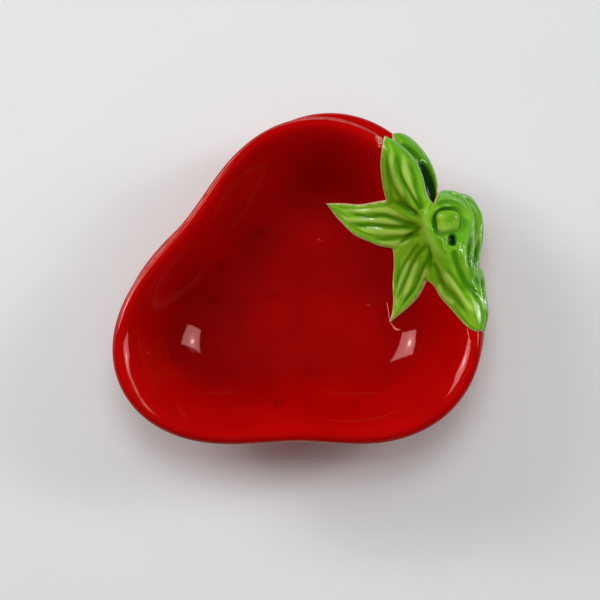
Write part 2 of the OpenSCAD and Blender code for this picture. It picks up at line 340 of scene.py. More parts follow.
def inside_height(radius, angle):
    """Height of the inside, which climbs from a flat floor and rolls over softly into the lip's crest."""
    start = floor_edge(angle)
    share = np.clip((radius - start) / (rim(angle) - LIP_RADIUS - start), 0, 1)
    power = ROLL_POWER + ROLL_FORWARD * np.cos(angle)
    power = power + ROLL_LEAN * np.sin(angle) + ROLL_OVAL * np.cos(2 * angle)
    climb = (share**2 / 2 - share**power / power) / (0.5 - 1 / power)
    return FLOOR_TOP + (RIM_HEIGHT - FLOOR_TOP) * climb


def drape_height(x, y):
    """Height of the dish's upper surface, carried on past the lip by a bend that is wide at the stem."""
    angle = np.arctan2(y, x)
    radius = np.hypot(x, y)
    past_crest = np.maximum(radius - rim(angle) + LIP_RADIUS, 0)
    from_stem = np.abs(np.degrees(angle) + 1.5)
    bend = COLLAR_BEND + (SEPAL_BEND - COLLAR_BEND) * smooth_step(10, 19, from_stem)
    return inside_height(radius, angle) - past_crest**2 / (2 * bend)


def drape_normal(x, y):
    step = 0.1
    slope_x = (drape_height(x + step, y) - drape_height(x - step, y)) / (2 * step)
    slope_y = (drape_height(x, y + step) - drape_height(x, y - step)) / (2 * step)
    normal = np.stack([-slope_x, -slope_y, np.ones_like(slope_x)], axis=-1)
    return normal / np.linalg.norm(normal, axis=-1, keepdims=True)


def spline(places):
    """Close points of a smooth curve through places in the plane."""
    places = np.array(places, float)
    padded = np.vstack([places[0], places, places[-1]])
    travel = np.linspace(0, 1, 24, endpoint=False)[:, None]
    runs = []
    for before, start, end, after in zip(padded, padded[1:], padded[2:], padded[3:]):
        curve = 2 * start + (end - before) * travel
        curve = curve + (2 * before - 5 * start + 4 * end - after) * travel**2
        curve = curve + (3 * start - before - 3 * end + after) * travel**3
        runs.append(0.5 * curve)
    return np.vstack([*runs, places[-1:]])


def through(places, count):
    """Plan points at equal steps along a smooth curve through places on the rim's angles and shares."""
    curve = spline(places)
    angle = np.radians(curve[:, 0])
    radius = curve[:, 1] * rim(angle)
    return even_steps(np.column_stack([radius * np.cos(angle), radius * np.sin(angle)]), count)


def even_steps(plan, count):
    lengths = np.linalg.norm(np.diff(plan, axis=0), axis=1)
    along = np.concatenate([[0], np.cumsum(lengths)])
    wanted = np.linspace(0, along[-1], count)
    return np.column_stack([np.interp(wanted, along, plan[:, axis]) for axis in (0, 1)])


def distance_to(line, points, reach=6.0):
    """For points within reach of a plan line: the distance to it, the share of its length and the side."""
    lengths = np.linalg.norm(np.diff(line, axis=0), axis=1)
    starts = np.concatenate([[0], np.cumsum(lengths)])
    best = np.full(len(points), reach)
    share = np.zeros(len(points))
    side = np.ones(len(points))
    near = np.flatnonzero(
        np.all((points > line.min(axis=0) - reach) & (points < line.max(axis=0) + reach), axis=1)
    )
    for start, end, length, before in zip(line, line[1:], lengths, starts):
        way = (end - start) / length
        from_start = points[near] - start
        along = np.clip(from_start @ way, 0, length)
        gap = np.linalg.norm(from_start - along[:, None] * way, axis=1)
        nearer = gap < best[near]
        chosen = near[nearer]
        best[chosen] = gap[nearer]
        share[chosen] = (before + along[nearer]) / starts[-1]
        side[chosen] = np.sign(way[0] * from_start[nearer, 1] - way[1] * from_start[nearer, 0])
    return best, share, side


def nearest(lines, points):
    """Distance from each point to the nearest of some plan lines."""
    return np.min([distance_to(line, points)[0] for line in lines], axis=0)


def free_edge(border, free, count):
    """A sepal's free edge, from the end of its border to its tip."""
    return through([border[-1], *free], count)


def sepal_edge(border, free):
    """A sepal's edge from the hub along its border with the next piece and on to its tip."""
    rows = SEPAL_GRID[0] - BORDER_ROWS + 1
    return np.vstack([through(border, BORDER_ROWS), free_edge(border, free, rows)[1:]])


def collar_edges():
    inner = np.vstack([through(STEM_LEFT_BORDER, 60)[::-1], through(STEM_RIGHT_BORDER, 60)[1:]])
    return [through(COLLAR_OUTER, COLLAR_GRID[0]), even_steps(inner, COLLAR_GRID[0])]


def calyx_outline():
    """The free edges of the sepals and collar."""
    lines = [through(COLLAR_OUTER, 90)]
    for sides in SEPALS.values():
        for border, free in sides:
            lines.append(free_edge(border, free, 60))
    return lines


OUTLINE = calyx_outline()
VALLEYS = [through(border, 8) for border in (LEFT_BORDER, MIDDLE_BORDER, RIGHT_BORDER)]


def waves(x, y, length, turn):
    """A gentle uneven wave over the plan, from -1 to 1."""
    along = x * math.cos(turn) + y * math.sin(turn)
    across = y * math.cos(turn) - x * math.sin(turn)
    k = 2 * math.pi / length
    bent = np.sin(k * along + 1.3 * np.sin(0.6 * k * across))
    straight = np.sin(0.7 * k * across + 2 * turn)
    return 0.5 * bent + 0.5 * straight


def line_mark(plan, line, left, right, fade_in=0.0, fade_out=0.0):
    """A soft band along a line, with its own width on each side and a fade over a share of each end."""
    gap, share, side = distance_to(even_steps(spline(line), 40), plan)
    width = np.where(side > 0, left, right)
    fade = 1.0
    if fade_in:
        fade = fade * smooth_step(0, fade_in, share)
    if fade_out:
        fade = fade * (1 - smooth_step(1 - fade_out, 1, share))
    return fade * np.exp(-((gap / width) ** 2))


def stem_share(plan):
    """Distance from the stem's middle as a share of its rounded square, and the direction in degrees."""
    x = plan[:, 0] - STEM_PLACE[0]
    y = plan[:, 1] - STEM_PLACE[1]
    along = np.abs(x * math.cos(STEM_TURN) + y * math.sin(STEM_TURN)) / STEM_HALF
    across = np.abs(y * math.cos(STEM_TURN) - x * math.sin(STEM_TURN)) / STEM_HALF
    return (along**3 + across**3) ** (1 / 3), np.degrees(np.arctan2(y, x))


def from_angle(angle, middle):
    """Difference of an angle from a middle, in degrees from -180 to 180."""
    return (angle - middle + 180) % 360 - 180


def moat(plan):
    """The stem's ditch, deepest at its left and painted dark there as shade, and the seat it stands in."""
    share, toward = stem_share(plan)
    left = np.exp(-((from_angle(toward, 150) / 65) ** 2))
    back = np.exp(-((from_angle(toward, 70) / 35) ** 2))
    ditch = (0.18 + 0.95 * left + 0.8 * back) * np.exp(-((np.maximum(share - 1.1, 0) / 0.12) ** 2))
    return ditch, 1.2 * (1 - smooth_step(0.75, 0.95, share))


def calyx_relief(plan, normal, inside, outline, extra):
    """Calyx thickness above the dish, and paint marks: groove_and_shade, pale_and_sheen, edge and rim_line.

    Features lie where they show from above, so they are found at places moved along the dish's normal.
    """
    edge = nearest(outline, plan)
    inland = smooth_step(0.2, 2.2, edge)
    shoulder = np.clip(edge / 0.8, 0, 1)
    lift = EDGE_LIFT + 0.95 * np.sqrt(1 - (1 - shoulder) ** 2) + 1.5 * (1 - np.exp(-edge / 3.2))
    shown = plan + (lift * inside)[:, None] * normal[:, :2]
    downhill = plan + (0.5 * inside)[:, None] * normal[:, :2]
    rim_line = np.minimum(edge, nearest(outline, downhill))
    groove_and_shade = np.zeros(len(plan))
    pale_and_sheen = np.zeros(len(plan))
    for strength, line in GROOVES:
        band = line_mark(shown, line, GROOVE_WIDTH, GROOVE_WIDTH, 0.06, 0.3)
        groove_and_shade += strength * GROOVE_DEPTH * inland * band
    for line in VALLEYS:
        groove_and_shade += 0.55 * line_mark(shown, line, 0.8, 0.8, 0.45, 0.35)
    for line in PALE_RIDGES_AND_SHEEN:
        pale_and_sheen += inland * line_mark(shown, line, 1.0, 1.0, 0.25, 0.25)
    spine = line_mark(shown, SPINE, 1.8, 1.8, 0.2, 0.3)
    groove_and_shade *= 1 - 0.8 * spine
    lift += 0.12 * pale_and_sheen + 0.5 * spine
    crest = smooth_step(0, 1.0, edge)
    for line, left, right, height in FOLDS:
        band = line_mark(shown, line, left, right, 0.08, 0.2)
        lift += height * crest * band
        pale_and_sheen += 0.5 * band**3
    ditch, seat = moat(shown)
    groove_and_shade += ditch * inland
    lift -= seat
    for line, width, depth in SHADED_HOLLOWS + extra:
        fade = 0.3 if len(line) > 2 else 0
        band = line_mark(shown, line, width, width, fade, fade)
        groove_and_shade += depth * inland * band
        pale_and_sheen *= 1 - band
    lift += 0.07 * waves(shown[:, 0], shown[:, 1], 7, 0.8) * inland
    marks = {
        "groove_and_shade": groove_and_shade,
        "pale_and_sheen": np.clip(pale_and_sheen + 0.5 * spine, 0, 1),
        "edge": np.minimum(edge, FAR_INLAND),
        "rim_line": np.minimum(rim_line, FAR_INLAND),
    }
    return np.maximum(lift - groove_and_shade, EDGE_LIFT), marks


def brush_strokes(rows, columns):
    """Strokes that run along a sheet's rows and wander a little, from -1 to 1."""
    along, across = np.meshgrid(np.linspace(0, 1, rows), np.linspace(0, 1, columns), indexing="ij")
    place = across + 0.03 * np.sin(5 * along + 1) + 0.02 * np.sin(13 * along)
    stroke = np.sin(27 * place + 1.5 * along) + 0.8 * np.sin(46 * place - 2 * along + 2)
    strength = smooth_step(0, 0.35, along) * (0.75 + 0.25 * np.sin(9 * along + 8 * place))
    return (stroke * strength).ravel() / 1.8


def placed(points, dish):
    """Dish points in millimetres as row frame points in metres."""
    low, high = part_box(f"{dish}_foot_ring")
    turn = math.radians(UPPER_TURN) if dish == "upper" else 0
    x = points[:, 0] * math.cos(turn) - points[:, 1] * math.sin(turn)
    y = points[:, 0] * math.sin(turn) + points[:, 1] * math.cos(turn)
    turned = np.column_stack([x, y, points[:, 2]]) * 0.001
    return turned + np.array([(low.x + high.x) / 2, (low.y + high.y) / 2, low.z])


def add_piece(dish, node, points, faces, marks, material, sharp=()):
    """A mesh that stands for one CAD node of a dish and moves with it, with named marks on its points."""
    mesh = bpy.data.meshes.new(f"{dish}_{node}_dressed")
    mesh.from_pydata(placed(points, dish).tolist(), [], faces)
    for name, values in marks.items():
        layer = mesh.attributes.new(name, "FLOAT", "POINT")
        layer.data.foreach_set("value", np.asarray(values, np.float32))
    mesh.polygons.foreach_set("use_smooth", [True] * len(mesh.polygons))
    if len(sharp):
        flags = np.zeros(len(mesh.edges), bool)
        pairs = np.zeros(len(mesh.edges) * 2, int)
        mesh.edges.foreach_get("vertices", pairs)
        wanted = {tuple(sorted(pair)) for pair in sharp}
        for i, pair in enumerate(pairs.reshape(-1, 2).tolist()):
            flags[i] = tuple(sorted(pair)) in wanted
        mesh.attributes.new("sharp_edge", "BOOLEAN", "EDGE").data.foreach_set("value", flags)
    mesh.materials.append(material)
    piece = bpy.data.objects.new(mesh.name, mesh)
    bpy.context.scene.collection.objects.link(piece)
    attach(piece, f"{dish}_dish")
    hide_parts(f"{dish}_{node}")
    return piece


def band_faces(rings, count):
    faces = []
    for ring in range(rings - 1):
        for i in range(count):
            a = ring * count + i
            b = ring * count + (i + 1) % count
            faces.append((a, b, b + count, a + count))
    return faces


def bowl_rings():
    """Radius and height of the bowl's rings, from under its middle round the lip to over its middle."""
    angle = np.arange(AROUND) * 2 * np.pi / AROUND
    radius = []
    height = []
    lip_turn = []

    def ring(r, z, turn=-90.0):
        radius.append(r + 0 * angle)
        height.append(z + 0 * angle)
        lip_turn.append(turn + 0 * angle)

    base_edge = BASE_SHARE * rim(angle)
    for share in np.linspace(0.05, 1, UNDER_RINGS):
        ring(base_edge * share, FOOT_HEIGHT)
    run = rim(angle) - LIP_RADIUS * (1 - np.sin(wall(angle))) - base_edge
    climb = RIM_HEIGHT - LIP_RADIUS * (1 + np.cos(wall(angle))) - FOOT_HEIGHT
    for share in np.linspace(0, 1, OUTSIDE_RINGS)[1:]:
        ring(base_edge + run * share, FOOT_HEIGHT + climb * rise(share, np.tan(wall(angle)) * run / climb))
    for share in np.linspace(0, 1, LIP_RINGS)[1:]:
        turn = (wall(angle) - np.pi / 2) * (1 - share) + np.pi / 2 * share
        ring(
            rim(angle) - LIP_RADIUS + LIP_RADIUS * np.cos(turn),
            RIM_HEIGHT - LIP_RADIUS + LIP_RADIUS * np.sin(turn),
            np.degrees(turn),
        )
    start = floor_edge(angle)
    for share in np.linspace(1, 0, INSIDE_RINGS)[1:]:
        place = start + (rim(angle) - LIP_RADIUS - start) * share
        ring(place, inside_height(place, angle), 180.0)
    for share in np.linspace(1, 0.03, FLOOR_RINGS)[1:]:
        ring(start * share, FLOOR_TOP, 180.0)
    return angle, np.array(radius), np.array(height), np.array(lip_turn)


def seed_marks(x, y):
    """Depth of the pressed seed marks at each place, and how much glaze lies in them."""
    depth = np.zeros_like(x)
    pool = np.zeros_like(x)
    for number, (*place, strength) in enumerate(SEED_MARKS):
        turn = math.atan2(place[1], place[0] - 70) + 0.5 * math.sin(2.4 * number)
        way = (math.cos(turn), math.sin(turn))
        along = (x - place[0]) * way[0] + (y - place[1]) * way[1]
        across = (y - place[1]) * way[0] - (x - place[0]) * way[1]
        gap = (along / 2.2) ** 2 + (across / 1.4) ** 2
        ring = np.exp(-gap) - 0.85 * np.exp(-3.5 * gap)
        depth += 0.22 * strength * ring
        pool += 1.6 * strength * ring
    return depth, np.clip(pool, 0, 1)


def places_share(degrees, places, power):
    """Soft bands round the dish. A place is an angle in degrees, a spread and a strength."""
    total = 0
    for angle, spread, strength in places:
        total = total + strength * np.exp(-((from_angle(degrees, angle) / spread) ** power))
    return total


def painted_inside_shade(x, y, radius, angle, degrees, share_up):
    """Painted shade inside: darker on the floor, round its edge except in front, and in a few places."""
    away_from_front = 1 - np.exp(-((from_angle(degrees, FRONT_ANGLE) / 75) ** 2))
    floor_ring = np.exp(-(((radius / floor_edge(angle) - 1.15) / 0.42) ** 2))
    uneven = 0.1 * waves(x, y, 41, 0.7) + 0.06 * waves(x, y, 19, 2.2)
    inside_shade = (0.58 + uneven) * (1 - share_up) + 0.33 * floor_ring * away_from_front
    for dark_x, dark_y, spread, strength in SHADED_PLACES:
        inside_shade = inside_shade + strength * np.exp(-((x - dark_x) ** 2 + (y - dark_y) ** 2) / spread**2)
    return np.clip(inside_shade, 0, 1)


def bowl_gloss(degrees, lip_turn, inner, share_up):
    """Share of full gloss: the floor, the crest, the outside and the polished places on the inside wall."""
    low_or_high = 1 - smooth_step(0.26, 0.38, share_up) + smooth_step(0.76, 0.88, share_up)
    on_wall = 0.1 + 0.9 * places_share(degrees, POLISHED_PLACES, 4) * low_or_high
    on_crest = smooth_step(0.95, 1, share_up)
    on_floor = 1 - smooth_step(0.02, 0.12, share_up)
    on_lip = np.maximum(smooth_step(30, 60, lip_turn), 1 - smooth_step(-50, -20, lip_turn))
    return np.where(inner, np.maximum(np.maximum(on_wall, on_crest), on_floor), on_lip)


def thin_glaze_and_highlight(radius, angle, degrees, lip_turn, inner):
    """Part thin glaze, part painted highlight: a line on the lip's shoulder and a tail inside it at the left.
    """
    turned = degrees % 360
    line = places_share(degrees, THIN_AND_HIGHLIGHT_PLACES, 4) * np.exp(-(((lip_turn - 52) / 7) ** 2))
    tail = smooth_step(170, 178, turned) * (1 - smooth_step(187, 195, turned))
    inset = rim(angle) - radius - 4.7 + 1.4 * smooth_step(179, 191, turned)
    return line + 0.7 * tail * np.exp(-((inset / 0.45) ** 2)) * inner


def lip_wear(degrees, lip_turn):
    return np.exp(-(((lip_turn - 12) / 26) ** 2)) * np.minimum(places_share(degrees, WORN_PLACES, 2), 1)


def under_calyx(degrees, lip_turn, inner, share_up):
    """Where the calyx lies over the lip: its green glaze there is painted nearly black as shade in the slot.
    """
    covered = (1 - smooth_step(36, 39, np.abs(degrees + 0.5))) * smooth_step(-70, -40, lip_turn)
    return covered * np.where(inner, smooth_step(0.93, 0.97, share_up), 1)


def bowl_faces(rings):
    """Faces of the bowl's rings, closed by fans to the two points at its middle, under and over."""
    faces = band_faces(rings, AROUND)
    under = rings * AROUND
    over = under + 1
    top = (rings - 1) * AROUND
    for i in range(AROUND):
        j = (i + 1) % AROUND
        faces.append((under, j, i))
        faces.append((over, top + i, top + j))
    return faces


def make_bowl(dish, material):
    angle, radius, height, lip_turn = bowl_rings()
    degrees = (np.degrees(angle) + 180) % 360 - 180
    x = radius * np.cos(angle)
    y = radius * np.sin(angle)
    inner = lip_turn > 175
    depth, pool = seed_marks(x, y)
    sway = 0.05 * waves(x, y, 23, 0.4) + 0.05 * waves(x, y, 37, 1.9)
    share_up = np.clip((height - FLOOR_TOP) / (RIM_HEIGHT - FLOOR_TOP), 0, 1)
    height = height + np.where(inner, (sway - depth) * (1 - share_up), 0)
    notch = np.exp(-(((degrees - NOTCH_ANGLE) / NOTCH_SPREAD) ** 2))
    notch = notch * smooth_step(RIM_HEIGHT - 14, RIM_HEIGHT - 2, height)
    x = x - NOTCH_IN * notch * np.cos(angle)
    y = y - NOTCH_IN * notch * np.sin(angle)
    height = height - NOTCH_DOWN * notch
    on_rings = {
        "pool": np.where(inner, pool, 0),
        "wear": lip_wear(degrees, lip_turn),
        "inside_shade": np.where(inner, painted_inside_shade(x, y, radius, angle, degrees, share_up), 0),
        "gloss": bowl_gloss(degrees, lip_turn, inner, share_up),
        "outside": 1 - smooth_step(-60, -20, lip_turn),
        "crest": thin_glaze_and_highlight(radius, angle, degrees, lip_turn, inner) * (dish == "upper"),
        "under_calyx_shade": under_calyx(degrees, lip_turn, inner, share_up),
    }
    under_and_over = {"inside_shade": [0, 0.5], "gloss": [0, 1], "outside": [1, 0]}
    marks = {name: np.append(values, under_and_over.get(name, [0, 0])) for name, values in on_rings.items()}
    points = np.column_stack([x.ravel(), y.ravel(), height.ravel()])
    points = np.vstack([points, [0, 0, FOOT_HEIGHT], [0, 0, FLOOR_TOP]])
    return add_piece(dish, "bowl", points, bowl_faces(len(radius)), marks, material)


def glaze_run(places):
    """A thin bead of glaze along a plan line on the dish, thickest near its end."""
    count = 48
    around = 9
    line = even_steps(spline(places), count)
    way = np.gradient(line, axis=0)
    way /= np.linalg.norm(way, axis=1)[:, None]
    across = np.column_stack([-way[:, 1], way[:, 0]])
    share = np.linspace(0, 1, count)
    half = 0.16 + 0.3 * np.exp(-(((share - 0.86) / 0.12) ** 2))
    half *= np.sqrt(np.clip(np.minimum(share / 0.05, (1 - share) / 0.08), 0.001, 1))
    points = []
    for turn in np.linspace(-0.3, math.pi + 0.3, around):
        plan = line + across * (half * math.cos(turn))[:, None]
        height = drape_height(line[:, 0], line[:, 1]) + half * math.sin(turn)
        points.append(np.column_stack([plan, height]))
    points = np.stack(points, axis=1).reshape(-1, 3)
    faces = []
    for i in range(count - 1):
        for j in range(around - 1):
            a = i * around + j
            faces.append((a, a + around, a + around + 1, a + 1))
    return points, faces


def sheet_faces(rows, columns):
    """Faces of a sheet's upper and under side and of the wall between them, and the wall's upper edges."""
    sheet = rows * columns
    faces = []
    for i in range(rows - 1):
        for j in range(columns - 1):
            a = i * columns + j
            b = a + columns
            faces.append((a, a + 1, b + 1, b))
            faces.append((sheet + a, sheet + b, sheet + b + 1, sheet + a + 1))
    loop = [i * columns for i in range(rows)]
    loop += [(rows - 1) * columns + j for j in range(1, columns)]
    loop += [i * columns + columns - 1 for i in range(rows - 2, -1, -1)]
    loop += list(range(columns - 2, 0, -1))
    sharp = list(zip(loop, loop[1:] + loop[:1]))
    faces += [(a, b, sheet + b, sheet + a) for a, b in sharp]
    return faces, sharp


def sheet_shape(edges, columns, run=None, outline=OUTLINE, extra=()):
    """Points, faces, marks and sharp edges of a moulded sheet that lies on the dish between two edges."""
    rows = len(edges[0])
    even = np.linspace(0, 1, columns)
    across = 0.4 * even + 0.6 * (0.5 - 0.5 * np.cos(np.pi * even))
    plan = edges[0][:, None, :] * (1 - across)[None, :, None] + edges[1][:, None, :] * across[None, :, None]
    plan = plan.reshape(-1, 2)
    x = plan[:, 0]
    y = plan[:, 1]
    ground = np.column_stack([x, y, drape_height(x, y)])
    normal = drape_normal(x, y)
    past_crest = np.hypot(x, y) - rim(np.arctan2(y, x)) + LIP_RADIUS
    lift, marks = calyx_relief(plan, normal, 1 - smooth_step(-3, 0, past_crest), outline, list(extra))
    marks["stroke"] = brush_strokes(rows, columns)
    lift = lift + 0.06 * marks["stroke"] * smooth_step(0.4, 2.2, marks["edge"])
    hanging = smooth_step(1.5, 4.5, past_crest)
    over = ground + lift[:, None] * normal
    under = ground - (0.1 + 0.9 * hanging * (1 - np.exp(-marks["edge"] / 1.2)))[:, None] * normal
    marks["outer"] = smooth_step(-0.5, 3.5, past_crest)
    faces, sharp = sheet_faces(rows, columns)
    points = np.vstack([over, under])
    marks = {name: np.tile(values, 2) for name, values in marks.items()}
    marks["run"] = np.zeros(len(points))
    if run:
        run_points, run_faces = glaze_run(run)
        faces += [tuple(corner + len(points) for corner in face) for face in run_faces]
        points = np.vstack([points, run_points])
        for name, fill in RUN_MARKS.items():
            marks[name] = np.append(marks[name], np.full(len(run_points), fill))
    return points, faces, marks, sharp


def stub_shape():
    """The cut stem: a low rounded square post, tilted, tucked under the collar's hood."""
    count = 96
    angle = np.arange(count) * 2 * np.pi / count
    square = (np.abs(np.cos(angle)) ** 3 + np.abs(np.sin(angle)) ** 3) ** (-1 / 3)
    square *= 1 + 0.025 * np.sin(3 * angle + 0.6) + 0.015 * np.sin(5 * angle)
    flat_share = 1 - STEM_ROUND / STEM_HALF
    rings = []
    for height in np.linspace(0, STEM_TOP - STEM_BASE - STEM_ROUND, 10):
        rings.append((1, STEM_BASE + height))
    for turn in np.linspace(0, np.pi / 2, 14)[1:]:
        share = 1 - (1 - flat_share) * (1 - np.cos(turn))
        rings.append((share, STEM_TOP - STEM_ROUND * (1 - np.sin(turn))))
    for share in np.linspace(flat_share, 0.04, 16)[1:]:
        rings.append((share, STEM_TOP + STEM_DOME * (1 - (share / flat_share) ** 2)))
    points = []
    groove_and_shade = []
    for share, height in rings:
        along = STEM_HALF * share * square * np.cos(angle)
        across = STEM_HALF * share * square * np.sin(angle)
        x = along * math.cos(STEM_TURN) - across * math.sin(STEM_TURN)
        y = along * math.sin(STEM_TURN) + across * math.cos(STEM_TURN)
        z = height + STEM_LEAN * across + 0.07 * waves(x, y, 6, 0.3)
        points.append(np.column_stack([x + STEM_PLACE[0], y + STEM_PLACE[1], z]))
        # The post's foot is painted darker as shade
        groove_and_shade.append(np.full(count, 0.6 * smooth_step(39.4, 38.0, height)))
    points = np.vstack([*points, [*STEM_PLACE, STEM_TOP + STEM_DOME]])
    groove_and_shade = np.append(np.concatenate(groove_and_shade), 0)
    faces = band_faces(len(rings), count)
    last = len(rings) * count
    for i in range(count):
        faces.append((last, last - count + i, last - count + (i + 1) % count))
    faces.append(tuple(range(count - 1, -1, -1)))
    flat = np.zeros(len(points))
    # A painted highlight on the post's lower side
    up_side = (points[:, 1] - STEM_PLACE[1]) + 0.5 * (points[:, 0] - STEM_PLACE[0])
    highlight_low_side = smooth_step(2.5, -2.5, up_side)
    marks = {
        "groove_and_shade": groove_and_shade,
        "pale_and_sheen": 0.08 + 0.3 * highlight_low_side,
        "edge": flat + FAR_INLAND,
        "rim_line": flat + FAR_INLAND,
        "outer": flat + 0.1,
        "run": flat,
        "stroke": 0.8 * waves(points[:, 0], points[:, 1], 5, 1.2),
    }
    return points, faces, marks, []


def make_foot(dish, material):
    """A turned foot ring with rounded edges, a little uneven."""
    count = 180
    angle = np.arange(count) * 2 * np.pi / count
    inner = FOOT_RADIUS - FOOT_WIDTH
    soft = 1.1
    section = []
    for turn in np.linspace(0, np.pi / 2, 10):
        section.append((FOOT_RADIUS - soft + soft * np.cos(turn), soft - soft * np.sin(turn)))
    for turn in np.linspace(0, np.pi / 2, 10):
        section.append((inner + soft - soft * np.sin(turn), soft - soft * np.cos(turn)))
    for height in np.linspace(soft, FOOT_HEIGHT + 0.1, 14)[1:]:
        section.append((inner - 0.5 * (height / FOOT_HEIGHT) ** 6, height))
    for height in np.linspace(FOOT_HEIGHT + 0.1, soft, 14)[:-1]:
        section.append((FOOT_RADIUS + 0.8 * (height / FOOT_HEIGHT) ** 6, height))
    points = []
    for radius, height in section:
        reach = radius * (1 + 0.002 * np.sin(3 * angle + 1) + 0.0015 * np.sin(7 * angle))
        points.append(np.column_stack([reach * np.cos(angle), reach * np.sin(angle), height + 0 * angle]))
    rings = len(section)
    faces = []
    for ring in range(rings):
        for i in range(count):
            j = (i + 1) % count
            after = (ring + 1) % rings
            faces.append((ring * count + i, after * count + i, after * count + j, ring * count + j))
    height = np.repeat([z for _, z in section], count)
    marks = {"rise": height / FOOT_HEIGHT}
    return add_piece(dish, "foot_ring", np.vstack(points), faces, marks, material)


def chip_place(place):
    """The row frame place of a chip on the upper dish's inside or lip, given in plan."""
    height = drape_height(np.array([place[0]]), np.array([place[1]]))
    return placed(np.array([[*place, height[0]]]), "upper")[0].tolist()


class Paint:
    """A node material around one glossy or matt surface shader."""

    def __init__(self, name):
        self.material = bpy.data.materials.new(name)
        self.material.use_nodes = True
        self.tree = self.material.node_tree
        self.shader = self.tree.nodes["Principled BSDF"]
        self.place = self.tree.nodes.new("ShaderNodeTexCoord").outputs["Object"]

    def link(self, value, socket):
        if isinstance(value, bpy.types.NodeSocket):
            self.tree.links.new(value, socket)
        else:
            socket.default_value = value

    def set(self, socket, value):
        self.link(value, self.shader.inputs[socket])

    def noise(self, size, detail=2.0, roughness=0.5):
        """Soft noise from 0 to 1 whose features are about size metres across."""
        node = self.tree.nodes.new("ShaderNodeTexNoise")
        self.link(self.place, node.inputs["Vector"])
        node.inputs["Scale"].default_value = 1 / size
        node.inputs["Detail"].default_value = detail
        node.inputs["Roughness"].default_value = roughness
        return node.outputs["Fac"]

    def specks(self, size, radius):
        """Sparse dots of a radius in metres, one in each cell of a size in metres."""
        node = self.tree.nodes.new("ShaderNodeTexVoronoi")
        self.link(self.place, node.inputs["Vector"])
        node.inputs["Scale"].default_value = 1 / size
        return self.span(node.outputs["Distance"], radius / size, 0.4 * radius / size, 0, 1)

    def spot(self, place, radius):
        """A soft dot round a place in the row frame, both in metres."""
        node = self.tree.nodes.new("ShaderNodeVectorMath")
        node.operation = "DISTANCE"
        self.link(self.place, node.inputs[0])
        node.inputs[1].default_value = place
        return self.span(node.outputs["Value"], radius, 0.4 * radius, 0, 1)

    def mark(self, name):
        node = self.tree.nodes.new("ShaderNodeAttribute")
        node.attribute_name = name
        return node.outputs["Fac"]

    def span(self, value, from_low, from_high, to_low, to_high):
        node = self.tree.nodes.new("ShaderNodeMapRange")
        node.interpolation_type = "SMOOTHSTEP"
        for socket, number in zip(node.inputs[:5], (value, from_low, from_high, to_low, to_high)):
            self.link(number, socket)
        return node.outputs["Result"]

    def math(self, operation, first, second):
        node = self.tree.nodes.new("ShaderNodeMath")
        node.operation = operation
        self.link(first, node.inputs[0])
        self.link(second, node.inputs[1])
        return node.outputs[0]

    def mix(self, share, first, second):
        node = self.tree.nodes.new("ShaderNodeMix")
        node.data_type = "RGBA"
        self.link(share, node.inputs["Factor"])
        for colour, socket in ((first, node.inputs[6]), (second, node.inputs[7])):
            self.link((*colour, 1) if isinstance(colour, tuple) else colour, socket)
        return node.outputs[2]

    def bump(self, height, distance, strength=1.0, under=None):
        node = self.tree.nodes.new("ShaderNodeBump")
        node.inputs["Strength"].default_value = strength
        node.inputs["Distance"].default_value = distance
        self.link(height, node.inputs["Height"])
        if under:
            self.link(under, node.inputs["Normal"])
        return node.outputs["Normal"]


def red_glaze():
    paint = Paint("red_glaze")
    mottle = paint.noise(0.02, 3)
    colour = paint.mix(paint.span(mottle, 0.3, 0.7, 0, 1), RED, LIGHT_RED)
    # Painted shade: the inside is darker on the floor, away from the front and in a few places
    colour = paint.mix(paint.span(paint.mark("inside_shade"), 0, 1, 0, 0.9), colour, SHADED_RED)
    colour = paint.mix(paint.span(paint.mark("pool"), 0, 1, 0, 0.45), colour, POOLED_RED)
    patchy = paint.span(paint.noise(0.004, 4, 0.7), 0.35, 0.6, 0.25, 1)
    worn = paint.math("MULTIPLY", paint.span(paint.mark("wear"), 0.3, 0.9, 0, 0.8), patchy)
    colour = paint.mix(worn, colour, WORN_EDGE)
    # Thin glaze and painted highlight: a pale line on the lip, with a painted tail inside it at the left
    thin_and_highlight = paint.math("MULTIPLY", paint.span(paint.mark("crest"), 0.1, 0.9, 0, 0.6), patchy)
    colour = paint.mix(thin_and_highlight, colour, THIN_GLAZE_AND_HIGHLIGHT)
    colour = paint.mix(paint.mark("outside"), colour, OUTSIDE_RED)
    dusty = paint.span(paint.noise(0.03), 0.56, 0.6, 0, 0.5)
    colour = paint.mix(paint.math("MULTIPLY", paint.specks(0.009, 0.0003), dusty), colour, DUST)
    # Green glaze where the calyx covers the lip, painted nearly black as shade
    colour = paint.mix(paint.mark("under_calyx_shade"), colour, UNDER_CALYX_SHADE)
    for place, radius in CHIPS:
        broken = paint.span(paint.noise(0.0012, 3, 0.7), 0.42, 0.5, 0, 1)
        chip = paint.math("MULTIPLY", paint.spot(chip_place(place), radius), broken)
        strength = 0.6 if radius > LARGE_CHIP else 0.35
        colour = paint.mix(paint.math("MULTIPLY", chip, strength), colour, CHIPPED)
    paint.set("Base Color", colour)
    paint.set("Roughness", paint.span(paint.noise(0.006, 3), 0.3, 0.75, 0.03, 0.075))
    ripple = paint.bump(paint.noise(0.012, 1), 0.00006)
    paint.set("Normal", paint.bump(paint.noise(0.0012, 2), 0.00001, 1.0, ripple))
    paint.set("Specular IOR Level", paint.span(paint.mark("gloss"), 0, 1, 0.08, 0.5))
    paint.set("Specular Tint", (1, 0.48, 0.48, 1))
    return paint.material


